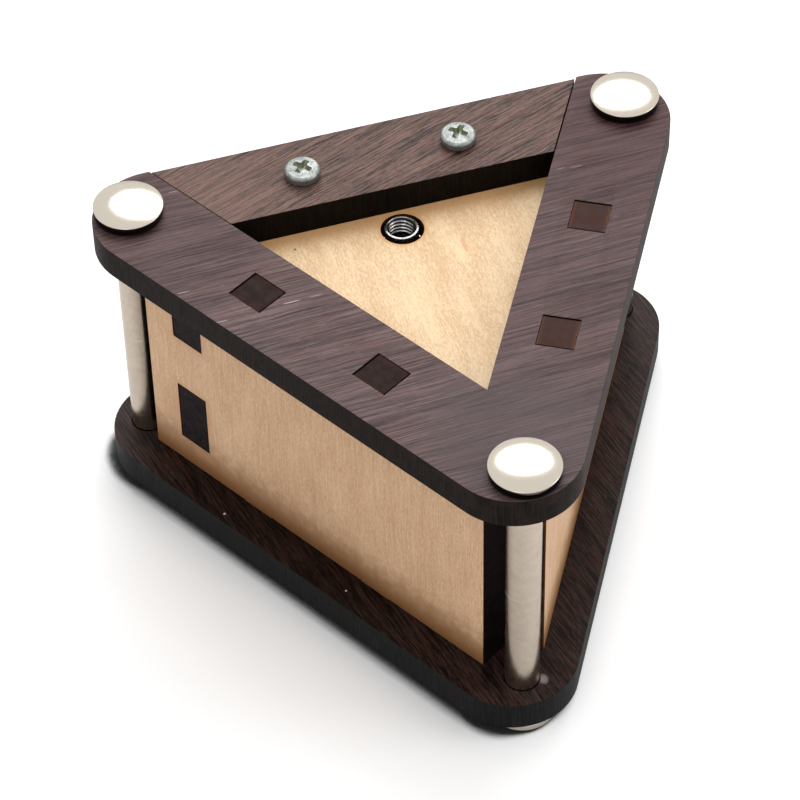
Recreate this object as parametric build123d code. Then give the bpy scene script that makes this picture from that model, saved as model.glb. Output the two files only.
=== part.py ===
from build123d import *
import math
import os

# Triangular secret box, millimetres, +Z up
# The plan is drawn about the centre of the triangle, with the near corner towards -Y and the
# sliding lid's bar along +Y. It is shifted at the end, so that the origin is under the middle of the box.

# Overall plan
plate_inradius = 36.0        # centre of the triangle to each straight plate edge
plate_corner_radius = 12.0
post_spacing = 93.0          # between the axes of any two posts

# Sheet thicknesses
plate_thickness = 6.0        # base plate, top frame and lid bar
side_wall_thickness = 6.5
back_wall_thickness = 6.0
lid_thickness = 4.0

# Heights
wall_height = 47.3           # between the two plates

# Top frame and lid
leg_inner = 17.0             # centre of the triangle to the inner edge of each leg of the V
bar_front = 18.5             # y of the bar's front face
bar_back = 35.8              # y of the bar's and the lid's rear face
bar_end_gap = 0.25
lid_top_gap = 0.2            # running gap between the lid and the top frame
lid_side_gap = 0.4           # between the lid's edges and the side walls
lid_seat_gap = 0.2           # between the lid and what it slides on

# Side walls
side_wall_outer = 29.4       # centre of the triangle to the outer face
side_wall_far_end = 41.4     # along the wall, from the foot of the centre line
tenon_length = 6.8
tenon_pitch = 29.2
tenon_recess = 0.1           # how far a tenon's end stays below the plate's face
slot_end_gap = 0.3
slot_side_gap = 0.1

# Back wall
back_wall_front = 9.2        # y of its front face
lower_tab_bottom = 6.2       # heights above the base plate
lower_tab_top = 19.9
upper_tab_bottom = 32.4
back_tenon_spacing = 34.0    # between its two bottom tenons
back_wall_end_gap = 0.1

# Ledges that carry the lid
runner_width = 4.0
runner_height = 4.0
runner_gap = 0.15

# Posts, each of two headed sleeves on one stud
sleeve_diameter = 6.2
sleeve_hole_gap = 0.15       # radial, between a sleeve and the plates
head_diameter = 12.5
head_shoulder_diameter = 9.0
head_shoulder = 0.35
head_rim = 0.9
head_dome = 1.3
head_lift = 0.55             # left between an upper head and the top frame when the sleeves meet
foot_flat_depth = 0.25       # what is ground off the crown of a lower head
sleeve_joint_gap = 0.1
stud_diameter = 4.5          # pitch diameter of an M5 thread, which stands as a plain rod
thread_gap = 0.05
stud_in_upper = 14.0
stud_in_lower = 9.6
stud_bore_spare = 1.0

# Lock sleeve in the lid
lock_y = 14.3
lock_offset = 0.5            # how far the sleeve stands behind the middle of its hole
lock_play = 0.8              # radial, between the sleeve and the lid
lock_sleeve_chamfer = 0.25

# Bar screws
screw_x = 14.6
screw_y = 26.5
screw_head_diameter = 6.5
screw_head_height = 2.4
screw_head_round = 0.9
screw_shank_diameter = 3.4
screw_hole_gap = 0.05
screw_tip_spare = 0.6        # wood left below the tip
cross_span = 3.5
cross_width = 0.8
cross_depth = 1.2
cross_turn = 45.0            # degrees, of the recess about the screw's axis

# Values that follow from the ones above
COS30 = math.cos(math.radians(30))
SIN30 = 0.5
post_inradius = post_spacing * SIN30 / math.sqrt(3)
post_circle = 2 * post_inradius
head_height = head_shoulder + head_rim + head_dome
base_bottom = head_height - foot_flat_depth
base_top = base_bottom + plate_thickness
frame_bottom = base_top + wall_height
frame_top = frame_bottom + plate_thickness
sleeve_joint = (base_bottom + frame_top + head_lift) / 2
lid_top = frame_bottom - lid_top_gap
lid_bottom = lid_top - lid_thickness
ledge_top = lid_bottom - lid_seat_gap
bar_top = lid_top + plate_thickness
side_wall_inner = side_wall_outer - side_wall_thickness
side_wall_near_end = -side_wall_inner * math.sqrt(3)
side_wall_middle = (side_wall_near_end + side_wall_far_end) / 2
side_wall_width_middle = (side_wall_inner + side_wall_outer) / 2
back_wall_back = back_wall_front + back_wall_thickness
back_wall_middle = (back_wall_front + back_wall_back) / 2
lid_edge = side_wall_inner - lid_side_gap
bore_diameter = stud_diameter + 2 * thread_gap
lock_hole_radius = sleeve_diameter / 2 + lock_play
plan_shift = (2 * (plate_inradius - plate_corner_radius) + plate_corner_radius - plate_inradius) / 2
post_places = {
    "front": (0, -post_circle),
    "left": (-post_spacing / 2, post_inradius),
    "right": (post_spacing / 2, post_inradius),
}


def leg_x(offset, y):
    """x where the line at this offset from the centre, parallel to the right side, has this y."""
    return (offset + SIN30 * y) / COS30


def leg_y(offset, x):
    """y where the line at this offset from the centre, parallel to the right side, has this x."""
    return (COS30 * x - offset) / SIN30


def slab(points, bottom, height):
    """A flat piece with this outline."""
    return Pos(0, 0, bottom) * extrude(Polygon(*points, align=None), height)


def wedge(offset, back, bottom, height):
    """The triangle between both side lines at this offset and a straight back."""
    points = [(0, -2 * offset), (leg_x(offset, back), back), (-leg_x(offset, back), back)]
    return slab(points, bottom, height)


def post_holes(bottom):
    """Three cutters for the posts' holes in a plate."""
    radius = sleeve_diameter / 2 + sleeve_hole_gap
    size = (radius, 2 * plate_thickness)
    return [Pos(x, y, bottom + plate_thickness / 2) * Cylinder(*size) for x, y in post_places.values()]


def side_box(along, height, bottom, growth_along=0.0, growth_across=0.0):
    """A block across the right wall's thickness, centred at a place along the wall."""
    length = tenon_length + 2 * growth_along
    width = side_wall_thickness + 2 * growth_across
    place = Pos(along, -side_wall_width_middle, bottom + height / 2)
    return Rot(0, 0, 60) * place * Box(length, width, height)


def side_tenon_places():
    """Where the tenons stand along a side wall."""
    return [side_wall_middle - tenon_pitch / 2, side_wall_middle + tenon_pitch / 2]


def side_slots(bottom):
    """Cutters for the side walls' tenons in a plate."""
    right = [side_box(along, 3 * plate_thickness, bottom - plate_thickness, slot_end_gap, slot_side_gap)
             for along in side_tenon_places()]
    return right + [mirror(cutter, about=Plane.YZ) for cutter in right]


def rounded_plate(bottom):
    """The triangular plate with its three round corners."""
    back = plate_inradius
    corner = leg_x(plate_inradius, back)
    outline = Polygon((0, -2 * plate_inradius), (corner, back), (-corner, back), align=None)
    outline = fillet(outline.vertices(), plate_corner_radius)
    return Pos(0, 0, bottom) * extrude(outline, plate_thickness)


def base_plate():
    plate = rounded_plate(base_bottom)
    plate -= post_holes(base_bottom)
    plate -= side_slots(base_bottom)
    slot_length = tenon_length + 2 * slot_end_gap
    slot_width = back_wall_thickness + 2 * slot_side_gap
    for x in back_tenon_places():
        plate -= Pos(x, back_wall_middle, base_bottom) * Box(slot_length, slot_width, 3 * plate_thickness)
    return plate


def top_frame():
    """The V of two legs over the side walls, open where the lid's bar fits."""
    plate = rounded_plate(frame_bottom)
    plate -= wedge(leg_inner, 2 * plate_inradius, frame_bottom - plate_thickness, 3 * plate_thickness)
    plate -= post_holes(frame_bottom)
    plate -= side_slots(frame_bottom)
    return plate


def back_tab_heights():
    """Bottom and top of each tab at the ends of the back wall."""
    return [(base_top + lower_tab_bottom, base_top + lower_tab_top),
            (base_top + upper_tab_bottom, ledge_top)]


def back_tenon_places():
    """Where the back wall's bottom tenons stand."""
    return [-back_tenon_spacing / 2, back_tenon_spacing / 2]


def right_wall():
    length = side_wall_far_end - side_wall_near_end
    place = Pos(side_wall_middle, -side_wall_width_middle, base_top + wall_height / 2)
    wall = Rot(0, 0, 60) * place * Box(length, side_wall_thickness, wall_height)
    tenon_height = plate_thickness - tenon_recess
    for along in side_tenon_places():
        wall += side_box(along, tenon_height, frame_bottom)
        wall += side_box(along, tenon_height, base_top - tenon_height)
    for low, high in back_tab_heights():
        place = Pos(leg_x(side_wall_width_middle, back_wall_middle), back_wall_middle, (low + high) / 2)
        depth = back_wall_thickness + 2 * slot_side_gap
        height = high - low + 2 * slot_side_gap
        wall -= place * Box(4 * side_wall_thickness, depth, height)
    return wall


def back_wall():
    """The wall behind the compartment, with two tabs through each side wall."""
    half = leg_x(side_wall_inner, back_wall_front) - back_wall_end_gap
    height = ledge_top - base_top
    wall = Pos(0, back_wall_middle, base_top + height / 2) * Box(2 * half, back_wall_thickness, height)
    limit = wedge(side_wall_outer - tenon_recess, plate_inradius, base_bottom, frame_top)
    for low, high in back_tab_heights():
        tab = Pos(0, back_wall_middle, (low + high) / 2) * Box(3 * half, back_wall_thickness, high - low)
        wall += tab & limit
    tenon_height = plate_thickness - tenon_recess
    for x in back_tenon_places():
        wall += Pos(x, back_wall_middle, base_top - tenon_height / 2) * Box(
            tenon_length, back_wall_thickness, tenon_height)
    return wall


def right_runner():
    """A ledge along the inside of the right wall, under the lid."""
    outer = side_wall_inner
    inner = side_wall_inner - runner_width
    back = back_wall_front - runner_gap
    points = [
        (runner_gap, leg_y(outer, runner_gap)),
        (leg_x(outer, back), back),
        (leg_x(inner, back), back),
        (runner_gap, leg_y(inner, runner_gap)),
    ]
    return slab(points, ledge_top - runner_height, runner_height)


def screw_holes(bottom, thickness):
    """Cutters for the two bar screws through a piece this thick."""
    hole = Cylinder(screw_shank_diameter / 2 + screw_hole_gap, 2 * thickness)
    return [Pos(x, screw_y, bottom + thickness / 2) * hole for x in (-screw_x, screw_x)]


def lid_panel():
    panel = wedge(lid_edge, bar_back, lid_bottom, lid_thickness)
    lock_hole = Cylinder(lock_hole_radius, 2 * lid_thickness)
    panel -= Pos(0, lock_y - lock_offset, lid_bottom + lid_thickness / 2) * lock_hole
    panel -= screw_holes(lid_bottom, lid_thickness)
    return panel


def lid_bar():
    """The bar that closes the V, screwed on the lid."""
    offset = leg_inner - bar_end_gap
    points = [
        (-leg_x(offset, bar_front), bar_front),
        (leg_x(offset, bar_front), bar_front),
        (leg_x(offset, bar_back), bar_back),
        (-leg_x(offset, bar_back), bar_back),
    ]
    bar = slab(points, lid_top, plate_thickness)
    bar -= screw_holes(lid_top, plate_thickness)
    return bar


def bar_screw(x):
    """A pan-head screw with a cross recess, through the bar into the lid."""
    head = Pos(0, 0, screw_head_height / 2) * Cylinder(screw_head_diameter / 2, screw_head_height)
    head = fillet(head.edges().group_by(Axis.Z)[-1], screw_head_round)
    slot = Box(cross_span, cross_width, 2 * cross_depth)
    for turn in (cross_turn, cross_turn + 90):
        head -= Pos(0, 0, screw_head_height) * Rot(0, 0, turn) * slot
    shank_length = plate_thickness + lid_thickness - screw_tip_spare
    shank = Pos(0, 0, -shank_length / 2) * Cylinder(screw_shank_diameter / 2, shank_length)
    return Pos(x, screw_y, bar_top) * (head + shank)


def headed_sleeve(flat_depth):
    """A post sleeve that stands on the joint at height 0, with its head up and its bore open below."""
    seat = sleeve_joint - base_bottom
    radius = head_diameter / 2
    shoulder_top = seat + head_shoulder
    rim_top = shoulder_top + head_rim
    crown = rim_top + head_dome
    half_way = (radius * radius + head_dome * head_dome) / (2 * head_dome)
    rise = math.sqrt(half_way * half_way - radius * radius / 4) - (half_way - head_dome)
    profile = Polyline(
        (0, sleeve_joint_gap / 2), (sleeve_diameter / 2, sleeve_joint_gap / 2),
        (sleeve_diameter / 2, seat), (head_shoulder_diameter / 2, seat),
        (head_shoulder_diameter / 2, shoulder_top), (radius, shoulder_top), (radius, rim_top),
    )
    profile += ThreePointArc((radius, rim_top), (radius / 2, rim_top + rise), (0, crown))
    profile += Line((0, crown), (0, sleeve_joint_gap / 2))
    sleeve = revolve(Plane.XZ * make_face(profile), Axis.Z)
    if flat_depth > 0:
        sleeve -= Pos(0, 0, crown) * Box(head_diameter, head_diameter, 2 * flat_depth)
    return sleeve


def drilled(sleeve, depth):
    """The sleeve with a bore of this depth from its joint."""
    return sleeve - Pos(0, 0, depth / 2) * Cylinder(bore_diameter / 2, depth)


def upper_sleeve(place):
    sleeve = drilled(headed_sleeve(0), stud_in_upper + stud_bore_spare)
    return Pos(*place, sleeve_joint) * sleeve


def lower_sleeve(place):
    sleeve = drilled(headed_sleeve(foot_flat_depth), stud_in_lower + stud_bore_spare)
    return Pos(*place, sleeve_joint) * mirror(sleeve, about=Plane.XY)


def stud(place):
    length = stud_in_upper + stud_in_lower
    middle = sleeve_joint + (stud_in_upper - stud_in_lower) / 2
    return Pos(*place, middle) * Cylinder(stud_diameter / 2, length)


def lock_sleeve():
    """The loose threaded sleeve that stands in the lid's hole."""
    sleeve = Cylinder(sleeve_diameter / 2, lid_thickness)
    sleeve -= Cylinder(bore_diameter / 2, 2 * lid_thickness)
    sleeve = chamfer(sleeve.edges().filter_by(GeomType.CIRCLE), lock_sleeve_chamfer)
    return Pos(0, lock_y, lid_bottom + lid_thickness / 2) * sleeve


def all_pieces():
    """Every piece by its name, about the centre of the triangle."""
    pieces = {
        "base_plate": base_plate(),
        "top_frame": top_frame(),
        "right_wall": right_wall(),
        "left_wall": mirror(right_wall(), about=Plane.YZ),
        "back_wall": back_wall(),
        "right_runner": right_runner(),
        "left_runner": mirror(right_runner(), about=Plane.YZ),
        "lid_panel": lid_panel(),
        "lid_bar": lid_bar(),
        "left_bar_screw": bar_screw(-screw_x),
        "right_bar_screw": bar_screw(screw_x),
        "lock_sleeve": lock_sleeve(),
    }
    for corner, place in post_places.items():
        pieces[f"{corner}_upper_sleeve"] = upper_sleeve(place)
        pieces[f"{corner}_lower_sleeve"] = lower_sleeve(place)
        pieces[f"{corner}_stud"] = stud(place)
    return pieces


os.makedirs("parts", exist_ok=True)
for name, piece in all_pieces().items():
    export_step(Pos(0, plan_shift, 0) * piece, f"parts/{name}.step")
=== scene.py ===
import logging
import math
from dataclasses import dataclass
from enum import StrEnum
from typing import Any, Callable, Mapping, Optional, Sequence, Union

import bmesh
import bpy
from bmesh.types import BMesh, BMVert
from bpy.types import ID, Material, Mesh, Node, NodeSocket, NodeTree, Object, World
from mathutils import Matrix, Vector


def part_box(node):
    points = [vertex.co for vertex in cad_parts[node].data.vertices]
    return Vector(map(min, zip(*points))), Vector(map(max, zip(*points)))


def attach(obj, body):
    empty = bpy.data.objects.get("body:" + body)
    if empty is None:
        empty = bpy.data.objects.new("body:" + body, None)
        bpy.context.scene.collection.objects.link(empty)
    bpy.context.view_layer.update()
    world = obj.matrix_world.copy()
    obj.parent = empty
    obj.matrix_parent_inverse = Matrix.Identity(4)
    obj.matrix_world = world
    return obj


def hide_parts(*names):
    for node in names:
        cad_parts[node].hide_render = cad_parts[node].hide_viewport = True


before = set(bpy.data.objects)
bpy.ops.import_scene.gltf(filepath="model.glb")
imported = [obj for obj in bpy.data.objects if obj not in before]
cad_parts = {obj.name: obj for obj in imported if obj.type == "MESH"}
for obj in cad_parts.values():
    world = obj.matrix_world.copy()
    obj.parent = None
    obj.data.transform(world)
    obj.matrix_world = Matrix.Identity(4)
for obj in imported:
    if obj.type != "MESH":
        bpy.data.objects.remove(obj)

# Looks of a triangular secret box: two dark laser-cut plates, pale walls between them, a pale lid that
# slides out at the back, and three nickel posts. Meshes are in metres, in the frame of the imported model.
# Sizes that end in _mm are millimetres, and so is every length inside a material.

LOG = logging.getLogger("secret_box")
MM = 0.001
COS30 = math.cos(math.radians(30))
WELD_M = 1e-7
THREAD_WELD_M = 1e-6
FLAT_BELOW_DEG = 1.0    # edges of the CAD mesh that turn by less are taken out
SHARP_ABOVE_DEG = 25.0    # and those that turn by more are rounded
ROUNDING_SEGMENTS = 2
CUT_BELOW = 0.8    # how little of a face's normal points along the sheet's, on a cut face
SMOOTH_BELOW_DEG = 20.0
METAL_SMOOTH_BELOW_DEG = 28.0
THREAD_SMOOTH_BELOW_DEG = 35.0
COLUMNS = 96    # faces round everything that is turned
FLAT_SHARE = 0.12    # of a thread's half turn, for its flat root and again for its flat crest
CROSS_SHARPNESS = 7.0    # how crisp the corners of a screw's cross recess are
ALL_ALONG_MM = 99.0    # half the length of a stain that runs along a whole edge
POST_PLACES_MM = ((0.0, -41.694), (-46.5, 38.847), (46.5, 38.847))
# reach of the painted shadow on the top frame under each upper head
HEAD_SHADOW_RADIUS_MM = 6.4
POLISH_EDGE_MM = 0.1    # soft edges of the polished heads, and of the painted dark reflection round the upper ones' rims
DARK_EDGE_MM = 0.02
FLOOR_HALF_M = 12.0
FLOOR_SAMPLES = 16    # of the floor's shading round the box

Colour = tuple[float, float, float]
Direction = tuple[float, float, float]
RadiusOfAngle = Union[float, Callable[[float], float]]
HeightOfRadius = Union[float, Callable[[float], float]]
Ring = tuple[RadiusOfAngle, HeightOfRadius]

UP: Direction = (0, 0, 1)


class Slot(StrEnum):
    """The record's material slots."""

    BASE = "base_wood"
    FRAME = "frame_wood"
    BAR = "bar_wood"
    WALL = "wall_wood"
    BACK_WALL = "back_wall_wood"
    RUNNER = "runner_wood"
    LID = "lid_wood"
    NICKEL = "nickel"
    STUD = "stud_steel"
    LOCK = "lock_steel"
    SCREW = "zinc_screw"


class Corner(StrEnum):
    """The box's three corners, each with a post."""

    FRONT = "front"
    LEFT = "left"
    RIGHT = "right"


def binary(operation: str, swapped: bool = False) -> Callable[["Field", "Input"], "Field"]:
    """A method of Field that adds a Math node of this operation, with its operands swapped if asked."""
    def method(self: "Field", other: "Input") -> "Field":
        """The operation on this field and the other operand."""
        operands = (other, self) if swapped else (self, other)
        return self.graph.add("ShaderNodeMath", dict(enumerate(operands)), operation=operation)[0]

    return method


class Field:
    """One output of a node. Python's operators on it add Math nodes, in shaders and in geometry alike."""

    def __init__(self, graph: "Graph", socket: NodeSocket) -> None:
        """Keeps the graph, in which further nodes are made, and the output socket."""
        self.graph = graph
        self.socket = socket

    __add__ = binary("ADD")
    __radd__ = binary("ADD", swapped=True)
    __sub__ = binary("SUBTRACT")
    __rsub__ = binary("SUBTRACT", swapped=True)
    __mul__ = binary("MULTIPLY")
    __rmul__ = binary("MULTIPLY", swapped=True)
    __truediv__ = binary("DIVIDE")
    __pow__ = binary("POWER")
    above = binary("MAXIMUM")    # the larger of the two
    below = binary("MINIMUM")    # the smaller of the two

    def alone(self, operation: str) -> "Field":
        """A Math node of this operation on this field alone."""
        return self.graph.add("ShaderNodeMath", {0: self}, operation=operation)[0]

    def __abs__(self) -> "Field":
        """abs(self)."""
        return self.alone("ABSOLUTE")

    def clamped(self) -> "Field":
        """This field, held between 0 and 1."""
        return self.above(0.0).below(1.0)

    def rise(self, low: "Input", high: "Input") -> "Field":
        """A smooth step from 0 at low to 1 at high."""
        values = {"Value": self, "From Min": low, "From Max": high}
        return self.graph.add("ShaderNodeMapRange", values, interpolation_type="SMOOTHSTEP")["Result"]


Input = Union[Field, float, Sequence[float]]
Key = Union[str, int]    # a socket's name or number


def between(ends: tuple[float, float], share: Field) -> Field:
    """The value at this share of the way from the first end to the second."""
    return ends[0] + share * (ends[1] - ends[0])


class Step:
    """A node that was added, whose outputs are read by name or number."""

    def __init__(self, graph: "Graph", node: Node) -> None:
        """Keeps the node and its graph."""
        self.graph = graph
        self.node = node

    def __getitem__(self, output: Key) -> Field:
        """The output of this name or number."""
        return Field(self.graph, self.node.outputs[output])


class Graph:
    """A node tree and the one way in which nodes are added to it."""

    def __init__(self, tree: NodeTree) -> None:
        """Keeps the tree."""
        self.tree = tree

    def add(self, kind: str, values: Optional[Mapping[Key, Any]] = None, **settings: Any) -> Step:
        """Adds a node.

        Args:
            kind: The node's type.
            values: What goes into its sockets, by name or number: a Field to link, or a value to set.
            settings: Its own settings, set before the sockets.

        Returns:
            The node, whose outputs can be read.
        """
        node = self.tree.nodes.new(kind)
        for name, setting in settings.items():
            setattr(node, name, setting)
        for key, value in (values or {}).items():
            self.put(node.inputs[key], value)
        return Step(self, node)

    def put(self, socket: NodeSocket, value: Any) -> None:
        """Links a Field to the socket, or sets the socket's own value."""
        if isinstance(value, Field):
            self.tree.links.new(value.socket, socket)
        elif socket.type == "RGBA" and len(value) == 3:
            socket.default_value = (*value, 1.0)
        else:
            socket.default_value = value

    def vector(self, x: Input, y: Input = 0.0, z: Input = 0.0) -> Field:
        """A vector of three values."""
        return self.add("ShaderNodeCombineXYZ", {0: x, 1: y, 2: z})[0]

    def vector_sum(self, first: Field, second: Field) -> Field:
        """The sum of two vectors."""
        return self.add("ShaderNodeVectorMath", {0: first, 1: second}, operation="ADD")[0]


class Shader(Graph):
    """A material's or the world's tree, with the nodes that this box's finishes share."""

    def __init__(self, owner: Union[Material, World], output: str) -> None:
        """Empties the owner's tree and adds its output node."""
        owner.use_nodes = True
        super().__init__(owner.node_tree)
        self.tree.nodes.clear()
        self.end = self.add(output).node.inputs["Surface"]

    def scaled(self, vector: Field, scale: float) -> Field:
        """A vector times a number."""
        return self.add("ShaderNodeVectorMath", {0: vector, "Scale": scale}, operation="SCALE")[0]

    def place_mm(self) -> Field:
        """The place on the piece, in millimetres of the object's own frame."""
        return self.scaled(self.add("ShaderNodeTexCoord")["Object"], 1 / MM)

    def along(self, vector: Field, direction: Direction) -> Field:
        """How far a vector reaches along a direction."""
        return self.add("ShaderNodeVectorMath", {0: vector, 1: direction}, operation="DOT_PRODUCT")["Value"]

    def axes(self, vector: Field, *directions: Direction) -> list[Field]:
        """How far a vector reaches along each direction."""
        return [self.along(vector, direction) for direction in directions]

    def noise(self, place: Field, detail: float, roughness: float) -> Field:
        """Noise from 0 to 1, with features about one unit of the place wide."""
        values = {"Vector": place, "Scale": 1.0, "Detail": detail, "Roughness": roughness}
        return self.add("ShaderNodeTexNoise", values, noise_dimensions="3D")[0]

    def layer(self, axes: Sequence[Input], sizes_mm: Sequence[float], shift: float = 0.0, detail: float = 1.0,
              roughness: float = 0.5) -> Field:
        """A layer of noise in wood.

        Args:
            axes: The place along three directions.
            sizes_mm: How large the layer's features are along each of them.
            shift: Where in the noise the layer lies, so that no two layers are alike.
            detail: How many finer levels are added.
            roughness: How strong each of them is.

        Returns:
            The noise, from 0 to 1.
        """
        x, y, z = (axis / size for axis, size in zip(axes, sizes_mm))
        return self.noise(self.vector(x, y, z + shift), detail, roughness)

    def mix(self, factor: Input, first: Input, second: Input) -> Field:
        """The first colour where the factor is 0, and the second where it is 1."""
        return self.add("ShaderNodeMix", {0: factor, 6: first, 7: second}, data_type="RGBA")[2]

    def surface(self, colour: Input, roughness: Input, height_mm: Field, relief: float,
                more: Mapping[str, Any]) -> None:
        """Ends a material with a Principled shader that is embossed to this height, and takes more inputs by name."""
        bump = self.add("ShaderNodeBump", {"Strength": relief, "Distance": MM, "Height": height_mm})[0]
        values = {"Base Color": colour, "Roughness": roughness, "Normal": bump, **more}
        self.put(self.end, self.add("ShaderNodeBsdfPrincipled", values)["BSDF"])

    def shown_directly(self) -> Field:
        """1 for rays from the camera and in reflections and glass, and 0 for the light that falls on things."""
        path = self.add("ShaderNodeLightPath")
        return path["Is Camera Ray"].above(path["Is Glossy Ray"]).above(path["Is Transmission Ray"])


def new_material(name: str) -> tuple[Material, Shader]:
    """A new material and its empty tree."""
    material = bpy.data.materials.new(name)
    return material, Shader(material, "ShaderNodeOutputMaterial")


@dataclass(frozen=True)
class Lie:
    """How a flat piece of sheet wood lies."""

    face: Direction    # away from its broad face
    across: Direction    # in its plane
    up: Direction    # in its plane, at right angles to across


FLAT = Lie(UP, (1, 0, 0), (0, 1, 0))
BACK = Lie((0, 1, 0), (1, 0, 0), UP)
RIGHT_SIDE = Lie((COS30, -0.5, 0), (0.5, COS30, 0), UP)
LEFT_SIDE = Lie((-COS30, -0.5, 0), (-0.5, COS30, 0), UP)


@dataclass(frozen=True)
class Burn:
    """A brown stain round a cut, which the laser left, and along a side wall's foot partly painted shade: its shape
    in the sheet's plane, and how far it reaches.
    """

    up_mm: float
    reach_mm: float
    strength: float
    across_mm: float = 0.0
    half_across_mm: float = ALL_ALONG_MM
    half_up_mm: float = 0.0
    radius_mm: float = 0.0
    colour: Optional[Colour] = None    # the wood's own stain if none is given


@dataclass(frozen=True)
class Mark:
    """A soft-edged oval spot in the sheet's plane, such as a pin knot, a scuff, a fleck, or painted shade, shadow or
    sheen.
    """

    across_mm: float
    up_mm: float
    half_across_mm: float
    half_up_mm: float
    colour: Colour
    strength: float = 1.0
    softness: float = 0.7    # share of the spot that its edge takes up


@dataclass(frozen=True)
class Char:
    """The burnt faces that the laser left."""

    black: Colour = (0.012, 0.009, 0.008)
    pale: Colour = (0.040, 0.034, 0.033)
    warm: Colour = (0.030, 0.020, 0.016)
    fine_mm: float = 0.30
    relief_mm: float = 0.10
    roughness: float = 0.48
    ior: float = 1.10

    def material(self, name: str, lie: Lie) -> Material:
        """Builds the material of this name, for a sheet that lies like this."""
        material, shader = new_material(name)
        axes = shader.axes(shader.place_mm(), lie.across, lie.up, lie.face)
        lines = shader.layer(axes, (self.fine_mm, self.fine_mm, 6), 0, 3, 0.6)
        patches = shader.layer(axes, (2.2, 2.2, 2), 0, 2)
        colour = shader.mix(lines.rise(0.38, 0.75), self.black, self.pale)
        colour = shader.mix(patches.rise(0.45, 0.70), colour, self.warm)
        colour = self.tinted(shader, axes, patches, colour)
        rough = self.roughness + (lines - 0.5) * 0.2
        shader.surface(colour, rough, lines * self.relief_mm + patches * 0.05, 0.8, {"IOR": self.ior})
        return material

    def tinted(self, shader: Shader, axes: Sequence[Field], patches: Field, colour: Field) -> Field:
        """The colour where it differs from place to place, which it doesn't on a plain cut."""
        return colour


@dataclass(frozen=True, kw_only=True)
class WallChar(Char):
    """The burnt faces of a side wall: less burnt beside its broad faces, and paler on the ends of its tenons."""

    glow: Colour    # less burnt wood beside the broad faces
    glow_mm: float    # how far in it reaches
    middle_mm: float    # of the sheet, along its face direction
    half_thickness_mm: float
    ends_above_mm: float    # height over which the cut is the end of a tenon
    ends: Colour

    def tinted(self, shader: Shader, axes: Sequence[Field], patches: Field, colour: Field) -> Field:
        """The colour with the glow along both rims, and with the tenons' ends."""
        _, height, deep = axes
        inside = self.half_thickness_mm - abs(deep - self.middle_mm)
        rim = 1 - inside.rise(0.0, self.glow_mm * (patches + 0.4))
        end_rim = (1 - inside.rise(0.0, patches * 1.4)) * 0.6
        sooty = shader.mix(patches.rise(0.35, 0.65) * 0.5, self.ends, self.warm)
        end = shader.mix(end_rim, sooty, self.glow)
        top = height.rise(self.ends_above_mm, self.ends_above_mm + 0.1)
        return shader.mix(top, shader.mix(rim, colour, self.glow), end)


@dataclass(frozen=True)
class SheetWood:
    """What the dark and the pale wood share: how the piece lies, its burnt faces, and marks on its broad faces."""

    name: str
    lie: Lie
    cut: Char = Char()
    marks: tuple[Mark, ...] = ()

    def material(self) -> Material:
        """Builds the broad faces' material, of the finish's own name."""
        raise NotImplementedError

    def dress(self, mesh: Mesh) -> None:
        """Gives the broad faces this wood, and the cut faces and their rounded rims the burnt material."""
        mesh.materials.clear()
        mesh.materials.append(self.material())
        mesh.materials.append(self.cut.material(f"{self.name}_cut", self.lie))
        face = Vector(self.lie.face)
        for polygon in mesh.polygons:
            polygon.material_index = int(abs(polygon.normal.dot(face)) < CUT_BELOW)

    def marked(self, shader: Shader, place: Field, colour: Field) -> Field:
        """The colour with the piece's marks on it."""
        across, up = shader.axes(place, self.lie.across, self.lie.up)
        for mark in self.marks:
            u = (across - mark.across_mm) / mark.half_across_mm
            v = (up - mark.up_mm) / mark.half_up_mm
            spot = (1 - (u * u + v * v)).rise(0.0, mark.softness) * mark.strength
            colour = shader.mix(spot, colour, mark.colour)
        return colour


@dataclass(frozen=True, kw_only=True)
class DarkWood(SheetWood):
    """Dark hardwood with parallel grain in fine and coarse strands."""

    grain_deg: float    # from +X, in the sheet's plane
    strand_mm: float    # width of the coarse strands
    line_mm: float    # width of the fine lines
    line_length_mm: float
    wave_mm: float    # how far the strands wander
    ground: Colour
    pale: Colour
    red: Colour
    red_share: float
    light: Colour
    light_share: float
    strands: float    # how strongly each layer shows
    lines: float
    bands: float
    pores: float
    balance: float = 0.5    # the mean, from the ground colour to the pale one
    roughness: tuple[float, float] = (0.40, 0.56)
    ior: float

    def material(self) -> Material:
        """Builds the broad faces' material, of the finish's own name."""
        material, shader = new_material(self.name)
        place = shader.place_mm()
        turn = math.radians(self.grain_deg)
        straight = shader.axes(
            place, (math.cos(turn), math.sin(turn), 0), (-math.sin(turn), math.cos(turn), 0), self.lie.face)
        wander = shader.layer(straight, (17, 7, 9)) - 0.5
        drift = shader.layer(straight, (4.5, 2.5, 5)) - 0.5
        along, across, deep = straight
        axes = (along, across + wander * (2 * self.wave_mm) + drift * (0.45 * self.wave_mm), deep)

        length, width = self.line_length_mm, self.strand_mm
        strand = shader.layer(axes, (1.6 * length, width, 3))
        fine = shader.layer(axes, (length, self.line_mm, 2), 11, 2, 0.6)
        band = shader.layer(axes, (4 * length, 7 * width, 6), 23)
        pore = shader.layer(axes, (1.1, 0.16, 1), 37, 1, 0.7)
        redness = shader.layer(axes, (2.5 * length, 1.7 * width, 4), 31)
        dashes = shader.layer(axes, (2.6, 0.2, 2), 53)
        tone = self.balance + ((strand - 0.5) * self.strands + (fine - 0.5) * self.lines
                               + (band - 0.5) * self.bands + (pore - 0.5) * self.pores)
        wood = shader.mix(tone.clamped(), self.ground, self.pale)
        wood = shader.mix(redness.rise(0.54, 0.74) * self.red_share, wood, self.red)
        wood = shader.mix(dashes.rise(0.66, 0.80) * self.light_share, wood, self.light)
        wood = self.marked(shader, place, wood)
        rough = between(self.roughness, fine * 0.6 + pore * 0.4)
        shader.surface(wood, rough, strand * 0.02 + fine * 0.03 + pore * 0.02, 0.8, {"IOR": self.ior})
        return material


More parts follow.
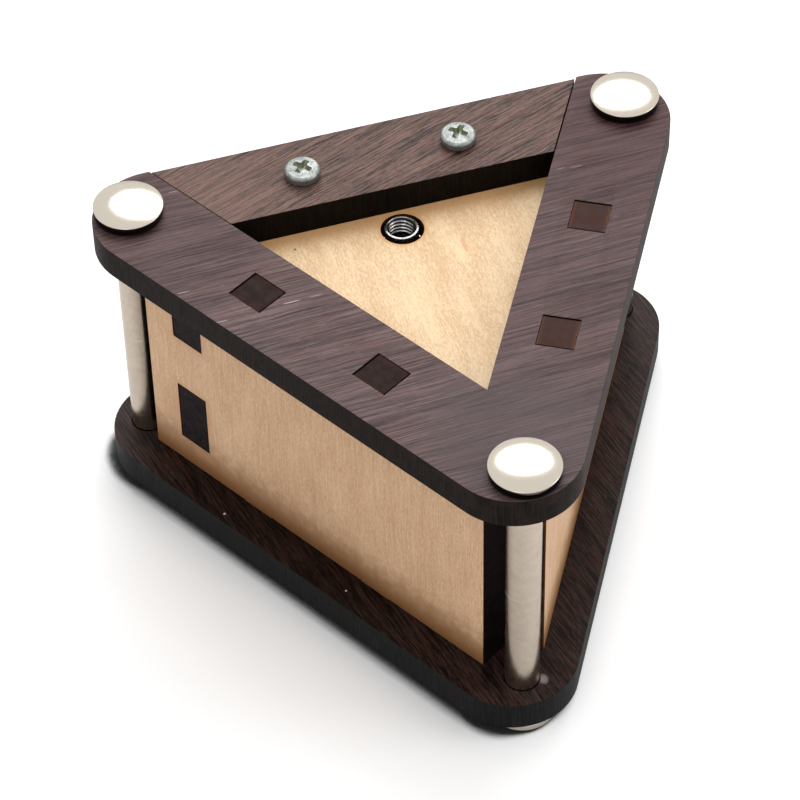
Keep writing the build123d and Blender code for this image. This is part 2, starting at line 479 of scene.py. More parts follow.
@dataclass(frozen=True, kw_only=True)
class PaleWood(SheetWood):
    """Pale close-grained wood with scorched cuts."""

    grain: Direction
    grain_across: Direction
    ground: Colour = (0.64, 0.37, 0.20)
    light: Colour = (0.88, 0.60, 0.375)
    streak: Colour = (0.62, 0.33, 0.20)
    streak_share: float = 0.4
    fleck: float = 1.5    # how strongly each layer shows
    fibre: float = 1.2
    cloud: float = 0.9
    stain: Colour = (0.40, 0.19, 0.075)
    burns: tuple[Burn, ...] = ()
    roughness: tuple[float, float] = (0.50, 0.62)
    ior: float = 1.42

    def material(self) -> Material:
        """Builds the broad faces' material, of the finish's own name."""
        material, shader = new_material(self.name)
        place = shader.place_mm()
        along, across, deep = shader.axes(place, self.grain, self.grain_across, self.lie.face)
        wander = shader.layer((along, across, deep), (22, 9, 9)) - 0.5
        axes = (along, across + wander * 1.2, deep)

        flecks = shader.layer(axes, (0.75, 0.20, 1), 0, 1, 0.6)
        fibres = shader.layer(axes, (7, 0.32, 2), 13, 2, 0.65)
        cloud = shader.layer(axes, (16, 6, 8), 29, 2)
        figure = shader.layer(axes, (34, 1.6, 5), 41, 2, 0.6)
        tone = (flecks - 0.5) * self.fleck + (fibres - 0.5) * self.fibre + (cloud - 0.5) * self.cloud + 0.5
        wood = shader.mix(tone.clamped(), self.ground, self.light)
        wood = shader.mix(figure.rise(0.55, 0.75) * self.streak_share, wood, self.streak)
        wood = self.marked(shader, place, wood)
        if self.burns:
            wood = self.scorched(shader, place, wood, fibres)
        shader.surface(wood, between(self.roughness, fibres), flecks * 0.015 + fibres * 0.012, 0.6, {"IOR": self.ior})
        return material

    def scorched(self, shader: Shader, place: Field, wood: Field, fibres: Field) -> Field:
        """The wood with the laser's stains on it, and along the side walls' feet partly painted shade, which follow
        its fibres a little.
        """
        across, up = shader.axes(place, self.lie.across, self.lie.up)
        patchy = shader.layer((across, up, 7.0), (2.2, 2.2, 1), 0, 2) * 0.9 + fibres * 0.5
        for burn in self.burns:
            u = (abs(across - burn.across_mm) - burn.half_across_mm).above(0.0)
            v = (abs(up - burn.up_mm) - burn.half_up_mm).above(0.0)
            far = ((u * u + v * v) ** 0.5 - burn.radius_mm).above(0.0)
            stain = 1 - far.rise(0.0, (patchy + 0.3) * burn.reach_mm)
            wood = shader.mix(stain * burn.strength, wood, burn.colour or self.stain)
        return wood


@dataclass(frozen=True)
class Metal:
    """Bare or plated metal, a little uneven in tone and polish."""

    name: str
    colour: Colour
    second: Colour    # in the patches and the grit
    roughness: tuple[float, float]
    patch_mm: float = 2.5
    grit_mm: float = 0.25
    relief: float = 0.02
    # Heights: it is polished below the first and above the second, and from there up to the third darkened, a painted
    # reflection of the shaded wood under the heads.
    heads_mm: Optional[tuple[float, float, float]] = None
    polished: Colour = (0.64, 0.58, 0.49)
    polished_roughness: float = 0.10
    # painted reflection: the colour of the upper heads' rim sides, as if mirroring the shaded wood under them
    dark: Colour = (0.13, 0.105, 0.09)
    recess_shade: Optional[Colour] = None    # painted shade, where the attribute recess is 1

    def material(self) -> Material:
        """Builds the material, of the finish's own name."""
        material, shader = new_material(self.name)
        place = shader.place_mm()
        patches = shader.noise(shader.scaled(place, 1 / self.patch_mm), 3.0, 0.6)
        grit = shader.noise(shader.scaled(place, 1 / self.grit_mm), 2.0, 0.7)
        uneven = (patches * 0.6 + grit * 0.4).rise(0.35, 0.7)
        colour = shader.mix(uneven, self.colour, self.second)
        rough = between(self.roughness, uneven)
        if self.heads_mm is not None:
            low, high, rim = self.heads_mm
            height = shader.along(place, UP)
            soft = POLISH_EDGE_MM
            head = height.rise(high - soft, high + soft).above(1 - height.rise(low - soft, low + soft))
            colour = shader.mix(head, colour, self.polished)
            rough = rough * (1 - head) + (patches * 0.06 + self.polished_roughness) * head
            # painted reflection: the band round the upper heads' rims, darkened as if mirroring the shaded wood
            # beneath
            band = height.rise(high - DARK_EDGE_MM, high) * (1 - height.rise(rim - DARK_EDGE_MM, rim))
            colour = shader.mix(band, colour, self.dark)
        # painted shade: darker where the attribute recess is set, on a screw recess's walls and on thread flanks that
        # don't face up
        if self.recess_shade is not None:
            recess = shader.add("ShaderNodeAttribute", attribute_name="recess")["Fac"]
            colour = shader.mix(recess, colour, self.recess_shade)
        shader.surface(colour, rough, grit * self.relief + patches * self.relief, 0.5, {"Metallic": 1.0})
        return material


def new_object(name: str, data: ID) -> Object:
    """An object of this mesh, lamp or camera at the origin, linked to the scene."""
    made = bpy.data.objects.new(name, data)
    bpy.context.scene.collection.objects.link(made)
    return made


def poured(work: BMesh, mesh: Mesh, below_deg: float) -> Mesh:
    """Pours an edited form into the mesh, smooth apart from edges that turn by this much or more."""
    work.to_mesh(mesh)
    work.free()
    mesh.shade_smooth()
    mesh.set_sharp_from_angle(angle=math.radians(below_deg))
    return mesh


def welded_copy(node: str, rounding_mm: float) -> Mesh:
    """A copy of a CAD node as one welded mesh, its sharp edges rounded by this much."""
    work = bmesh.new()
    work.from_mesh(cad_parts[node].data)
    bmesh.ops.remove_doubles(work, verts=work.verts, dist=WELD_M)
    bmesh.ops.dissolve_limit(work, angle_limit=math.radians(FLAT_BELOW_DEG), verts=work.verts, edges=work.edges)
    sharp = [edge for edge in work.edges
             if len(edge.link_faces) == 2 and edge.calc_face_angle() > math.radians(SHARP_ABOVE_DEG)]
    bmesh.ops.bevel(work, geom=sharp, offset=rounding_mm * MM, offset_type="OFFSET", segments=ROUNDING_SEGMENTS,
                    profile=0.5, affect="EDGES", clamp_overlap=True)
    return poured(work, bpy.data.meshes.new(node), SMOOTH_BELOW_DEG)


class Lathe:
    """Turns rings of faces about a vertical axis, all into one mesh."""

    def __init__(self, name: str, centre: Vector) -> None:
        """Starts an empty mesh, for forms round an axis through this place."""
        self.name = name
        self.centre = centre
        self.work = bmesh.new()

    def turn(self, rings: Sequence[Ring]) -> "Lathe":
        """Adds a form.

        Args:
            rings: Each ring's radius, or its radius at an angle, and its height, or its height at a radius, in
                millimetres. A ring of radius 0 is a pole.

        Returns:
            The lathe, for a further form.
        """
        rows = [self._row(*ring) for ring in rings]
        for low, high in zip(rows, rows[1:]):
            for column in range(COLUMNS):
                after = (column + 1) % COLUMNS
                corners = (low[column % len(low)], low[after % len(low)], high[after % len(high)],
                           high[column % len(high)])
                unique = list(dict.fromkeys(corners))
                if len(unique) > 2:
                    self.work.faces.new(unique)
        return self

    def _row(self, radius_at: RadiusOfAngle, height_at: HeightOfRadius) -> list[BMVert]:
        """The vertices of one ring, or the one vertex of a pole."""
        row = []
        for column in range(1 if radius_at == 0 else COLUMNS):
            angle = math.tau * column / COLUMNS
            radius = radius_at(angle) if callable(radius_at) else radius_at
            height = height_at(radius) if callable(height_at) else height_at
            if radius < 0:
                raise ValueError(f"{self.name} has a ring of radius {radius}")
            spot = Vector((radius * math.cos(angle), radius * math.sin(angle), height)) * MM
            row.append(self.work.verts.new(self.centre + spot))
        return row

    def finished(self, below_deg: float, outward: bool = True) -> Mesh:
        """The mesh, smooth below this angle, and with its faces outward unless it is still open."""
        if outward:
            bmesh.ops.recalc_face_normals(self.work, faces=self.work.faces)
        return poured(self.work, bpy.data.meshes.new(self.name), below_deg)


def arc(centre: tuple[float, float], radius: float, start_deg: float, end_deg: float,
        steps: int) -> list[tuple[float, float]]:
    """Points (radius, height) along an arc, both ends included."""
    angles = [math.radians(start_deg + (end_deg - start_deg) * i / steps) for i in range(steps + 1)]
    return [(centre[0] + radius * math.cos(a), centre[1] + radius * math.sin(a)) for a in angles]


class Recipe(Graph):
    """A Geometry Nodes tree with named inputs, and how it is run on a mesh."""

    def __init__(self, name: str, inputs: Mapping[str, str]) -> None:
        """Makes the tree, with the kind of value that each named input takes."""
        super().__init__(bpy.data.node_groups.new(name, "GeometryNodeTree"))
        face = self.tree.interface
        for in_out in ("OUTPUT", "INPUT"):
            face.new_socket(name="Geometry", in_out=in_out, socket_type="NodeSocketGeometry")
        self.keys = {key: face.new_socket(name=key, in_out="INPUT", socket_type=f"NodeSocket{kind}").identifier
                     for key, kind in inputs.items()}
        self.inputs = self.add("NodeGroupInput")
        self.result = self.add("NodeGroupOutput").node

    def close(self, geometry: Field) -> None:
        """Ends the tree: real meshes, in the material that its input names."""
        real = self.add("GeometryNodeRealizeInstances", {0: geometry})
        dressed = self.add("GeometryNodeSetMaterial", {"Geometry": real[0], "Material": self.inputs["Material"]})
        self.put(self.result.inputs[0], dressed[0])

    def run(self, name: str, start: Mesh, values: Mapping[str, Any]) -> Object:
        """Runs the tree on a mesh.

        Args:
            name: The name of the piece.
            start: The mesh that goes in as Geometry.
            values: The named inputs.

        Returns:
            The finished piece, a plain mesh with no modifier.
        """
        worker = new_object(f"{name}_worker", start)
        modifier = worker.modifiers.new(self.tree.name, "NODES")
        modifier.node_group = self.tree
        for key, value in values.items():
            modifier[self.keys[key]] = value
        graph = bpy.context.evaluated_depsgraph_get()
        mesh = bpy.data.meshes.new_from_object(worker.evaluated_get(graph), depsgraph=graph)
        mesh.name = name
        worker.modifiers.remove(modifier)
        bpy.data.objects.remove(worker)
        return new_object(name, mesh)


def thread_recipe() -> Recipe:
    """A screw thread: a grid wrapped round an axis, whose radius follows a helix, joined to the mesh that goes in."""
    recipe = Recipe("screw_thread", {
        **dict.fromkeys(("Radius", "Depth", "Pitch", "Bottom", "Top", "Lead"), "Float"),
        "Columns": "Int", "Rows": "Int", "Inside": "Bool", "Centre": "Vector", "Material": "Material",
    })
    given = recipe.inputs
    grid = recipe.add("GeometryNodeMeshGrid", {
        "Size X": 1.0, "Size Y": 1.0, "Vertices X": given["Columns"] + 1.0, "Vertices Y": given["Rows"]})["Mesh"]
    point = recipe.add("ShaderNodeSeparateXYZ", {0: recipe.add("GeometryNodeInputPosition")[0]})
    share = point["X"] + 0.5
    angle = share * math.tau
    height = given["Bottom"] + (point["Y"] + 0.5) * (given["Top"] - given["Bottom"])
    phase = (height / given["Pitch"] - share).alone("FRACT")
    crest = ((abs(phase * 2 - 1) - FLAT_SHARE) / (1 - 2 * FLAT_SHARE)).clamped()
    from_end = (height - given["Bottom"]).below(given["Top"] - height)
    lead = (from_end / given["Lead"]).clamped()
    radius = given["Radius"] + given["Depth"] * crest * lead
    spot = recipe.vector(radius * angle.alone("COSINE"), radius * angle.alone("SINE"), height)
    lit = phase.rise(0.0, 0.1) * (1 - phase.rise(0.16, 0.28)) * lead    # the flank that faces up, kept bright as painted light from above
    # painted shade: the rest of the thread is marked by the attribute recess, which darkens it
    marked = recipe.add("GeometryNodeStoreNamedAttribute", {"Geometry": grid, "Name": "recess", "Value": 1 - lit},
                        data_type="FLOAT", domain="POINT")[0]
    place = recipe.vector_sum(spot, given["Centre"])
    wrapped = recipe.add("GeometryNodeSetPosition", {"Geometry": marked, "Position": place})[0]
    flipped = recipe.add("GeometryNodeFlipFaces", {"Mesh": wrapped, "Selection": given["Inside"]})[0]
    joined = recipe.add("GeometryNodeJoinGeometry")
    for part in (flipped, given["Geometry"]):
        recipe.put(joined.node.inputs[0], part)
    recipe.close(recipe.add("GeometryNodeMergeByDistance", {"Geometry": joined[0], "Distance": THREAD_WELD_M})[0])
    return recipe


def row_recipe() -> Recipe:
    """Copies of the mesh that goes in, in a row along X, each turned a little further than the one before."""
    recipe = Recipe("row_of_screws", {
        "Count": "Int", "Spacing": "Float", "Middle": "Vector", "First turn": "Float", "Next turn": "Float",
        "Material": "Material",
    })
    given = recipe.inputs
    start = recipe.vector_sum(given["Middle"], recipe.vector((given["Count"] - 1) * given["Spacing"] * -0.5))
    line = recipe.add("GeometryNodeMeshLine", {
        "Count": given["Count"], "Start Location": start, "Offset": recipe.vector(given["Spacing"])})[0]
    turn = given["First turn"] + recipe.add("GeometryNodeInputIndex")[0] * given["Next turn"]
    recipe.close(recipe.add("GeometryNodeInstanceOnPoints", {
        "Points": line, "Instance": given["Geometry"], "Rotation": recipe.vector(0.0, 0.0, turn)})[0])
    return recipe


class SubAssembly:
    """What every sub-assembly does with a piece that is ready."""

    body = "base"    # which its sheet pieces move with
    rounding_mm = 0.07    # how far back their edges are rounded

    @staticmethod
    def hand_over(piece: Object, body: str, slot: Slot, *nodes: str) -> None:
        """Lets a finished piece ride on its body in place of its CAD nodes, and reports it."""
        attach(piece, body)
        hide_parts(*nodes)
        LOG.info("%s rides on %s for %s, %d faces", piece.name, body, ", ".join(nodes), len(piece.data.polygons))

    def cut_piece(self, node: str, slot: Slot, finish: SheetWood) -> None:
        """Makes a welded, softened copy of a sheet piece and dresses it."""
        mesh = welded_copy(node, self.rounding_mm)
        finish.dress(mesh)
        self.hand_over(new_object(f"{node}_wood", mesh), self.body, slot, node)


@dataclass
class Plates(SubAssembly):
    """The two dark plates."""

    base: DarkWood = DarkWood(
        "base_plate_wood", FLAT, grain_deg=-78.0, strand_mm=0.36, line_mm=0.20, line_length_mm=4.0, wave_mm=0.5,
        ground=(0.0022, 0.0012, 0.0010), pale=(0.052, 0.029, 0.023), red=(0.085, 0.022, 0.017), red_share=0.5,
        light=(0.22, 0.13, 0.10), light_share=0.35, strands=2.6, lines=2.0, bands=0.9, pores=1.6, balance=0.36,
        ior=1.22,
        cut=Char(black=(0.0045, 0.0052, 0.0054), pale=(0.018, 0.019, 0.019), warm=(0.011, 0.0092, 0.0088), ior=1.18),
        marks=(
            Mark(-30.0, 0.0, 26.0, 48.0, (0.004, 0.0012, 0.0008), 0.3, 1.0),    # darker on the left
            Mark(3.4, -43.3, 1.1, 1.4, (0.33, 0.29, 0.29), 0.75, 1.0),
            Mark(-39.39, 11.37, 0.28, 0.28, (0.80, 0.76, 0.74)),
            Mark(-23.59, -13.21, 0.22, 0.22, (0.80, 0.76, 0.74)),
            Mark(17.8, -15.5, 0.5, 0.35, (0.30, 0.30, 0.31), 0.7),
        ))
    top: DarkWood = DarkWood(
        "top_frame_wood", FLAT, grain_deg=2.0, strand_mm=0.34, line_mm=0.19, line_length_mm=8.0, wave_mm=0.5,
        ground=(0.020, 0.0098, 0.0095), pale=(0.177, 0.111, 0.110), red=(0.165, 0.070, 0.060), red_share=0.35,
        light=(0.34, 0.26, 0.25), light_share=0.4, strands=1.7, lines=1.4, bands=0.6, pores=0.6, ior=1.26,
        cut=Char(black=(0.0095, 0.0065, 0.0055), pale=(0.027, 0.020, 0.018), warm=(0.022, 0.013, 0.011), ior=1.13),
        marks=(
            *(Mark(x, y, half_length, half_width, (tone, tone - 0.07, tone - 0.08), strength)
              for x, y, half_length, half_width, tone, strength in (    # scratches
                  (-25.4, 8.28, 2.0, 0.15, 0.50, 0.8), (-21.0, 8.46, 1.5, 0.12, 0.50, 0.5),
                  (-42.6, 16.4, 1.3, 0.14, 0.48, 0.8), (-38.2, 7.5, 1.5, 0.14, 0.45, 0.7),
                  (-37.6, 41.5, 1.2, 0.12, 0.45, 0.8), (32.4, 25.2, 1.5, 0.13, 0.45, 0.6),
                  (29.6, 25.6, 0.9, 0.12, 0.45, 0.5))),
            # The next four spots are painted light: darker towards the rear, on the right leg and at the left rear
            # corner, and greyer near the front tip, where the lamp's sheen is strongest.
            Mark(48.0, 32.0, 34.0, 34.0, (0.034, 0.002, 0.002), 0.48, 1.0),    # painted shade: darker towards the rear, where the lamp's sheen fades
            Mark(24.0, -8.0, 26.0, 36.0, (0.028, 0.006, 0.006), 0.30, 1.0),
            Mark(2.0, -34.0, 22.0, 20.0, (0.074, 0.052, 0.055), 0.55, 1.0),
            Mark(-44.0, 32.0, 26.0, 26.0, (0.028, 0.004, 0.004), 0.30, 1.0),
            # painted shadow: the top frame blackened under each post's head, where its overhang casts shade
            *(Mark(x, y, HEAD_SHADOW_RADIUS_MM, HEAD_SHADOW_RADIUS_MM, (0.004, 0.002, 0.002), 0.97, 0.15)
              for x, y in POST_PLACES_MM),
        ))

    def build(self) -> None:
        """Makes the base plate and the top frame."""
        self.cut_piece("base_plate", Slot.BASE, self.base)
        self.cut_piece("top_frame", Slot.FRAME, self.top)


@dataclass
class Walls(SubAssembly):
    """The side walls, the back wall and the ledges under the lid."""

    rounding_mm = 0.08
    thickness_mm: float = 6.5
    middle_mm: float = 20.15    # of a side wall, out from the box's middle line
    plate_mm: float = 6.0    # thickness of the plates that the walls are let into
    slot_ends_mm: tuple[float, float] = (37.9, 45.0)    # of a mortise along the outer face
    slots_mm: tuple[tuple[float, float], ...] = ((14.4, 28.3), (40.6, 51.3))    # heights of the two mortises
    foot_mm: float = 8.3
    head_mm: float = 55.6
    halo: Colour = (0.66, 0.34, 0.18)

    def burns(self) -> tuple[Burn, ...]:
        """The scorched rims of a side wall: round its mortises and along its foot and head, the foot's brown partly
        painted shade where the wall meets the base plate.
        """
        start, end = self.slot_ends_mm
        slots = [Burn((low + high) / 2, reach_mm=2.4, strength=0.45, across_mm=(start + end) / 2,
                      half_across_mm=(end - start) / 2, half_up_mm=(high - low) / 2, colour=self.halo)
                 for low, high in self.slots_mm]
        # partly real scorch and partly painted shade, darkening the wall towards its foot by the base plate
        foot = Burn(self.foot_mm, reach_mm=11.5, strength=1.0, colour=(0.31, 0.138, 0.05))
        return (*slots, foot, Burn(self.head_mm, reach_mm=1.0, strength=0.4))

    def char(self, **looks: Any) -> WallChar:
        """A side wall's burnt faces, with these colours."""
        return WallChar(middle_mm=self.middle_mm, half_thickness_mm=self.thickness_mm / 2,
                        ends_above_mm=self.head_mm + self.plate_mm / 2, **looks)

    def build(self) -> None:
        """Makes the walls and ledges."""
        left = self.char(black=(0.0030, 0.0018, 0.0020), pale=(0.012, 0.008, 0.008), warm=(0.010, 0.005, 0.004),
                         glow=(0.045, 0.012, 0.006), glow_mm=0.5, ends=(0.036, 0.021, 0.019))
        right = self.char(black=(0.016, 0.0065, 0.004), pale=(0.050, 0.021, 0.013), warm=(0.060, 0.020, 0.011),
                          glow=(0.13, 0.050, 0.022), glow_mm=0.7, ends=(0.057, 0.034, 0.031))
        for side, lie, char in ((Corner.LEFT, LEFT_SIDE, left), (Corner.RIGHT, RIGHT_SIDE, right)):
            wood = PaleWood(f"{side}_wall_wood", lie, grain=UP, grain_across=lie.across, burns=self.burns(),
                            cut=char)
            self.cut_piece(f"{side}_wall", Slot.WALL, wood)
            ledge = PaleWood(f"{side}_runner_wood", lie, grain=lie.across, grain_across=UP)
            self.cut_piece(f"{side}_runner", Slot.RUNNER, ledge)
        back = PaleWood("back_wall_wood_finish", BACK, grain=(1, 0, 0), grain_across=UP,
                        burns=(Burn(self.foot_mm, reach_mm=3.0, strength=0.7),),
                        cut=Char(black=(0.012, 0.009, 0.010), pale=(0.040, 0.031, 0.034), warm=(0.028, 0.020, 0.020)))
        self.cut_piece("back_wall", Slot.BACK_WALL, back)


def cross_outline(span: float, width: float, hub: float) -> Callable[[float], float]:
    """The outline of a cross recess with rounded corners.

    Args:
        span: The length of each arm pair.
        width: The width of an arm.
        hub: The radius of the round middle.

    Returns:
        The outline's radius at an angle.
    """
    power = CROSS_SHARPNESS

    def exit_from(reach: float, side: float) -> float:
        """Where a ray leaves one bar of the cross, with its corners rounded."""
        return (reach ** -power + side ** -power) ** (-1 / power)

    def outline(angle: float) -> float:
        """The outline's radius at this angle."""
        flat = max(abs(math.cos(angle)), 1e-6)
        steep = max(abs(math.sin(angle)), 1e-6)
        level = exit_from(span / 2 / flat, width / 2 / steep)
        upright = exit_from(span / 2 / steep, width / 2 / flat)
        return (level ** power + upright ** power + hub ** power) ** (1 / power)

    return outline


@dataclass
class Lid(SubAssembly):
    """The sliding lid: its pale panel, the dark bar on it and the two screws."""

    body = "lid"
    bar_front_mm: float = 30.5
    bar_half_mm: float = 8.0    # half the bar's width
    bar_top_mm: float = 61.4
    lock_hole: tuple[float, float, float] = (0.0, 25.8, 3.9)    # its centre and radius
    screw_spacing_mm: float = 29.2
    screw_y_mm: float = 38.5
    screw_turns_deg: tuple[float, float] = (44.0, 4.0)    # of the first screw, and from each to the next
    head_radius_mm: float = 3.25
    head_height_mm: float = 2.4
    head_side_mm: float = 1.25    # heights of the side's upper and lower ends
    head_side_foot_mm: float = 0.55
    head_draw_mm: float = 0.5    # how far the side draws in at its foot
    head_gap_mm: float = 0.02    # under the head
    head_shoulder_mm: float = 2.55    # radius where the crown turns down
    crown_drop_mm: float = 0.40
    crown_rings: int = 5
    shoulder_rings: int = 8
    recess_mm: tuple[float, float, float] = (3.7, 1.12, 0.85)    # span, width of an arm, and radius of the middle
    recess_steps: tuple[tuple[float, float, float], ...] = (    # share of the outline, depth and painted shade
        (0.0, 1.40, 0.0), (0.45, 1.25, 0.1), (0.62, 1.125, 0.7), (0.90, 0.3125, 0.95), (0.95, 0.08, 0.4))
    shank_radius_mm: float = 1.7
    shank_length_mm: float = 9.4
    shank_tip_mm: float = 1.0

    def panel_finish(self) -> PaleWood:
        """Pale cream wood, scorched along the bar and round the lock's hole."""
        x, y, radius = self.lock_hole
        bar = Burn(self.bar_front_mm + self.bar_half_mm, reach_mm=5.5, strength=0.75, half_up_mm=self.bar_half_mm)
        hole = Burn(y, reach_mm=0.9, strength=0.8, across_mm=x, half_across_mm=0.0, radius_mm=radius)
        return PaleWood(
            "lid_panel_wood", FLAT, grain=(0, 1, 0), grain_across=(1, 0, 0),
            ground=(0.71, 0.46, 0.250), light=(0.915, 0.68, 0.420), streak=(0.80, 0.50, 0.27), streak_share=0.35,
            stain=(0.72, 0.36, 0.13), fleck=2.6, fibre=1.0, cloud=2.0,
            cut=Char(black=(0.010, 0.006, 0.005), pale=(0.030, 0.020, 0.016), warm=(0.06, 0.03, 0.015),
                     roughness=0.8, ior=1.04),
            burns=(bar, hole),
            marks=(
                Mark(-19.63, 26.73, 0.24, 0.30, (0.06, 0.035, 0.02)),
                Mark(9.2, 18.4, 0.45, 2.3, (0.74, 0.40, 0.20), 0.8),
            ))

    def screw_mesh(self) -> Mesh:
        """One pan-head screw at the origin, its recess marked by the attribute recess, which paints shade on the
        recess's walls.
        """
        outline = cross_outline(*self.recess_mm)
        top, side, foot = self.head_height_mm, self.head_side_mm, self.head_gap_mm
        radius, flat_end = self.head_radius_mm, self.head_shoulder_mm

        def crown(spot: float) -> float:
            """Height of the slightly domed crown at this radius."""
            return top - self.crown_drop_mm * (spot / flat_end) ** 2

        def blend(inner: float, outer: float) -> Callable[[float], float]:
            """This share of the recess's outline, plus this share of the crown's edge."""
            return lambda angle: outline(angle) * inner + flat_end * outer

        recess: list[Ring] = [(blend(share, 0) if share else 0, top - depth) for share, depth, _ in self.recess_steps]
        shares = [i / self.crown_rings for i in range(self.crown_rings + 1)]
        turns = [math.radians(90 * i / self.shoulder_rings) for i in range(1, self.shoulder_rings + 1)]
        rings = [
            *recess, *((blend(1 - share, share), crown) for share in shares),
            *((flat_end + (radius - flat_end) * math.sin(a), side + (crown(flat_end) - side) * math.cos(a))
              for a in turns),
            (radius, self.head_side_foot_mm), (radius - self.head_draw_mm, foot), (self.shank_radius_mm, foot),
            (self.shank_radius_mm, self.shank_tip_mm - self.shank_length_mm), (0, -self.shank_length_mm),
        ]
        lathe = Lathe("screw", Vector((0, 0, 0))).turn(rings)
        layer = lathe.work.verts.layers.float.new("recess")
        lathe.work.verts.ensure_lookup_table()
        for row, (_, _, shade) in enumerate(self.recess_steps):
            start = 0 if row == 0 else 1 + (row - 1) * COLUMNS
            for vertex in lathe.work.verts[start:1 + row * COLUMNS]:
                vertex[layer] = shade
        return lathe.finished(THREAD_SMOOTH_BELOW_DEG)

    def build(self) -> None:
        """Makes the panel, the bar and the screws."""
        self.cut_piece("lid_panel", Slot.LID, self.panel_finish())
        bar = DarkWood(
            "lid_bar_wood", FLAT, grain_deg=21.0, strand_mm=0.25, line_mm=0.15, line_length_mm=5.5, wave_mm=0.55,
            ground=(0.011, 0.0078, 0.0070), pale=(0.198, 0.114, 0.091), red=(0.21, 0.080, 0.054), red_share=0.3,
            light=(0.36, 0.29, 0.25), light_share=0.4, strands=2.1, lines=2.2, bands=0.5, pores=1.4, ior=1.25,
            cut=Char(black=(0.004, 0.003, 0.0025), pale=(0.010, 0.008, 0.006), warm=(0.008, 0.005, 0.004), ior=1.12),
            marks=(Mark(-31.0, 39.0, 16.0, 12.0, (0.24, 0.142, 0.115), 0.3, 1.0),))
        self.cut_piece("lid_bar", Slot.BAR, bar)
        zinc = Metal("zinc_plated", (0.36, 0.375, 0.362), (0.165, 0.180, 0.175), (0.40, 0.56), patch_mm=1.0,
                     grit_mm=0.22, relief=0.10, recess_shade=(0.28, 0.30, 0.20))
        first, step = (math.radians(turn) for turn in self.screw_turns_deg)
        screws = row_recipe().run("bar_screws", self.screw_mesh(), {
            "Count": 2, "Spacing": self.screw_spacing_mm * MM,
            "Middle": (0.0, self.screw_y_mm * MM, self.bar_top_mm * MM),
            "First turn": first, "Next turn": step, "Material": zinc.material()})
        self.hand_over(screws, self.body, Slot.SCREW, "left_bar_screw", "right_bar_screw")


@dataclass(frozen=True)
class Axis:
    """A node's upright axis."""

    centre: Vector    # at height 0, in metres
    bottom_mm: float
    top_mm: float

    @classmethod
    def of(cls, node: str) -> "Axis":
        """The axis of this CAD node."""
        low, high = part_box(node)
        return cls(Vector(((low.x + high.x) / 2, (low.y + high.y) / 2, 0.0)), low.z / MM, high.z / MM)


@dataclass
class Threaded(SubAssembly):
    """What the sub-assemblies with turns of thread share."""

    thread: Recipe
    pitch_mm: float = 0.8

    def wound(self, name: str, lathe: Lathe, finish: Material, rows: int, inside: bool,
              **sizes_mm: float) -> Object:
        """Joins a thread to what is on the lathe.

        Args:
            name: The name of the piece.
            lathe: What the thread's two ends are joined to.
            finish: The metal of the whole.
            rows: The number of faces along the axis.
            inside: Whether the thread faces the axis.
            sizes_mm: The recipe's inputs Radius, Depth, Bottom, Top and Lead.

        Returns:
            The piece, a closed mesh.
        """
        sizes_mm["Pitch"] = self.pitch_mm
        piece = self.thread.run(name, lathe.finished(SMOOTH_BELOW_DEG, outward=False), {
            **{key: size * MM for key, size in sizes_mm.items()}, "Columns": COLUMNS, "Rows": rows,
            "Inside": inside, "Centre": lathe.centre, "Material": finish})
        work = bmesh.new()
        work.from_mesh(piece.data)
        bmesh.ops.recalc_face_normals(work, faces=work.faces)
        poured(work, piece.data, THREAD_SMOOTH_BELOW_DEG)
        return piece


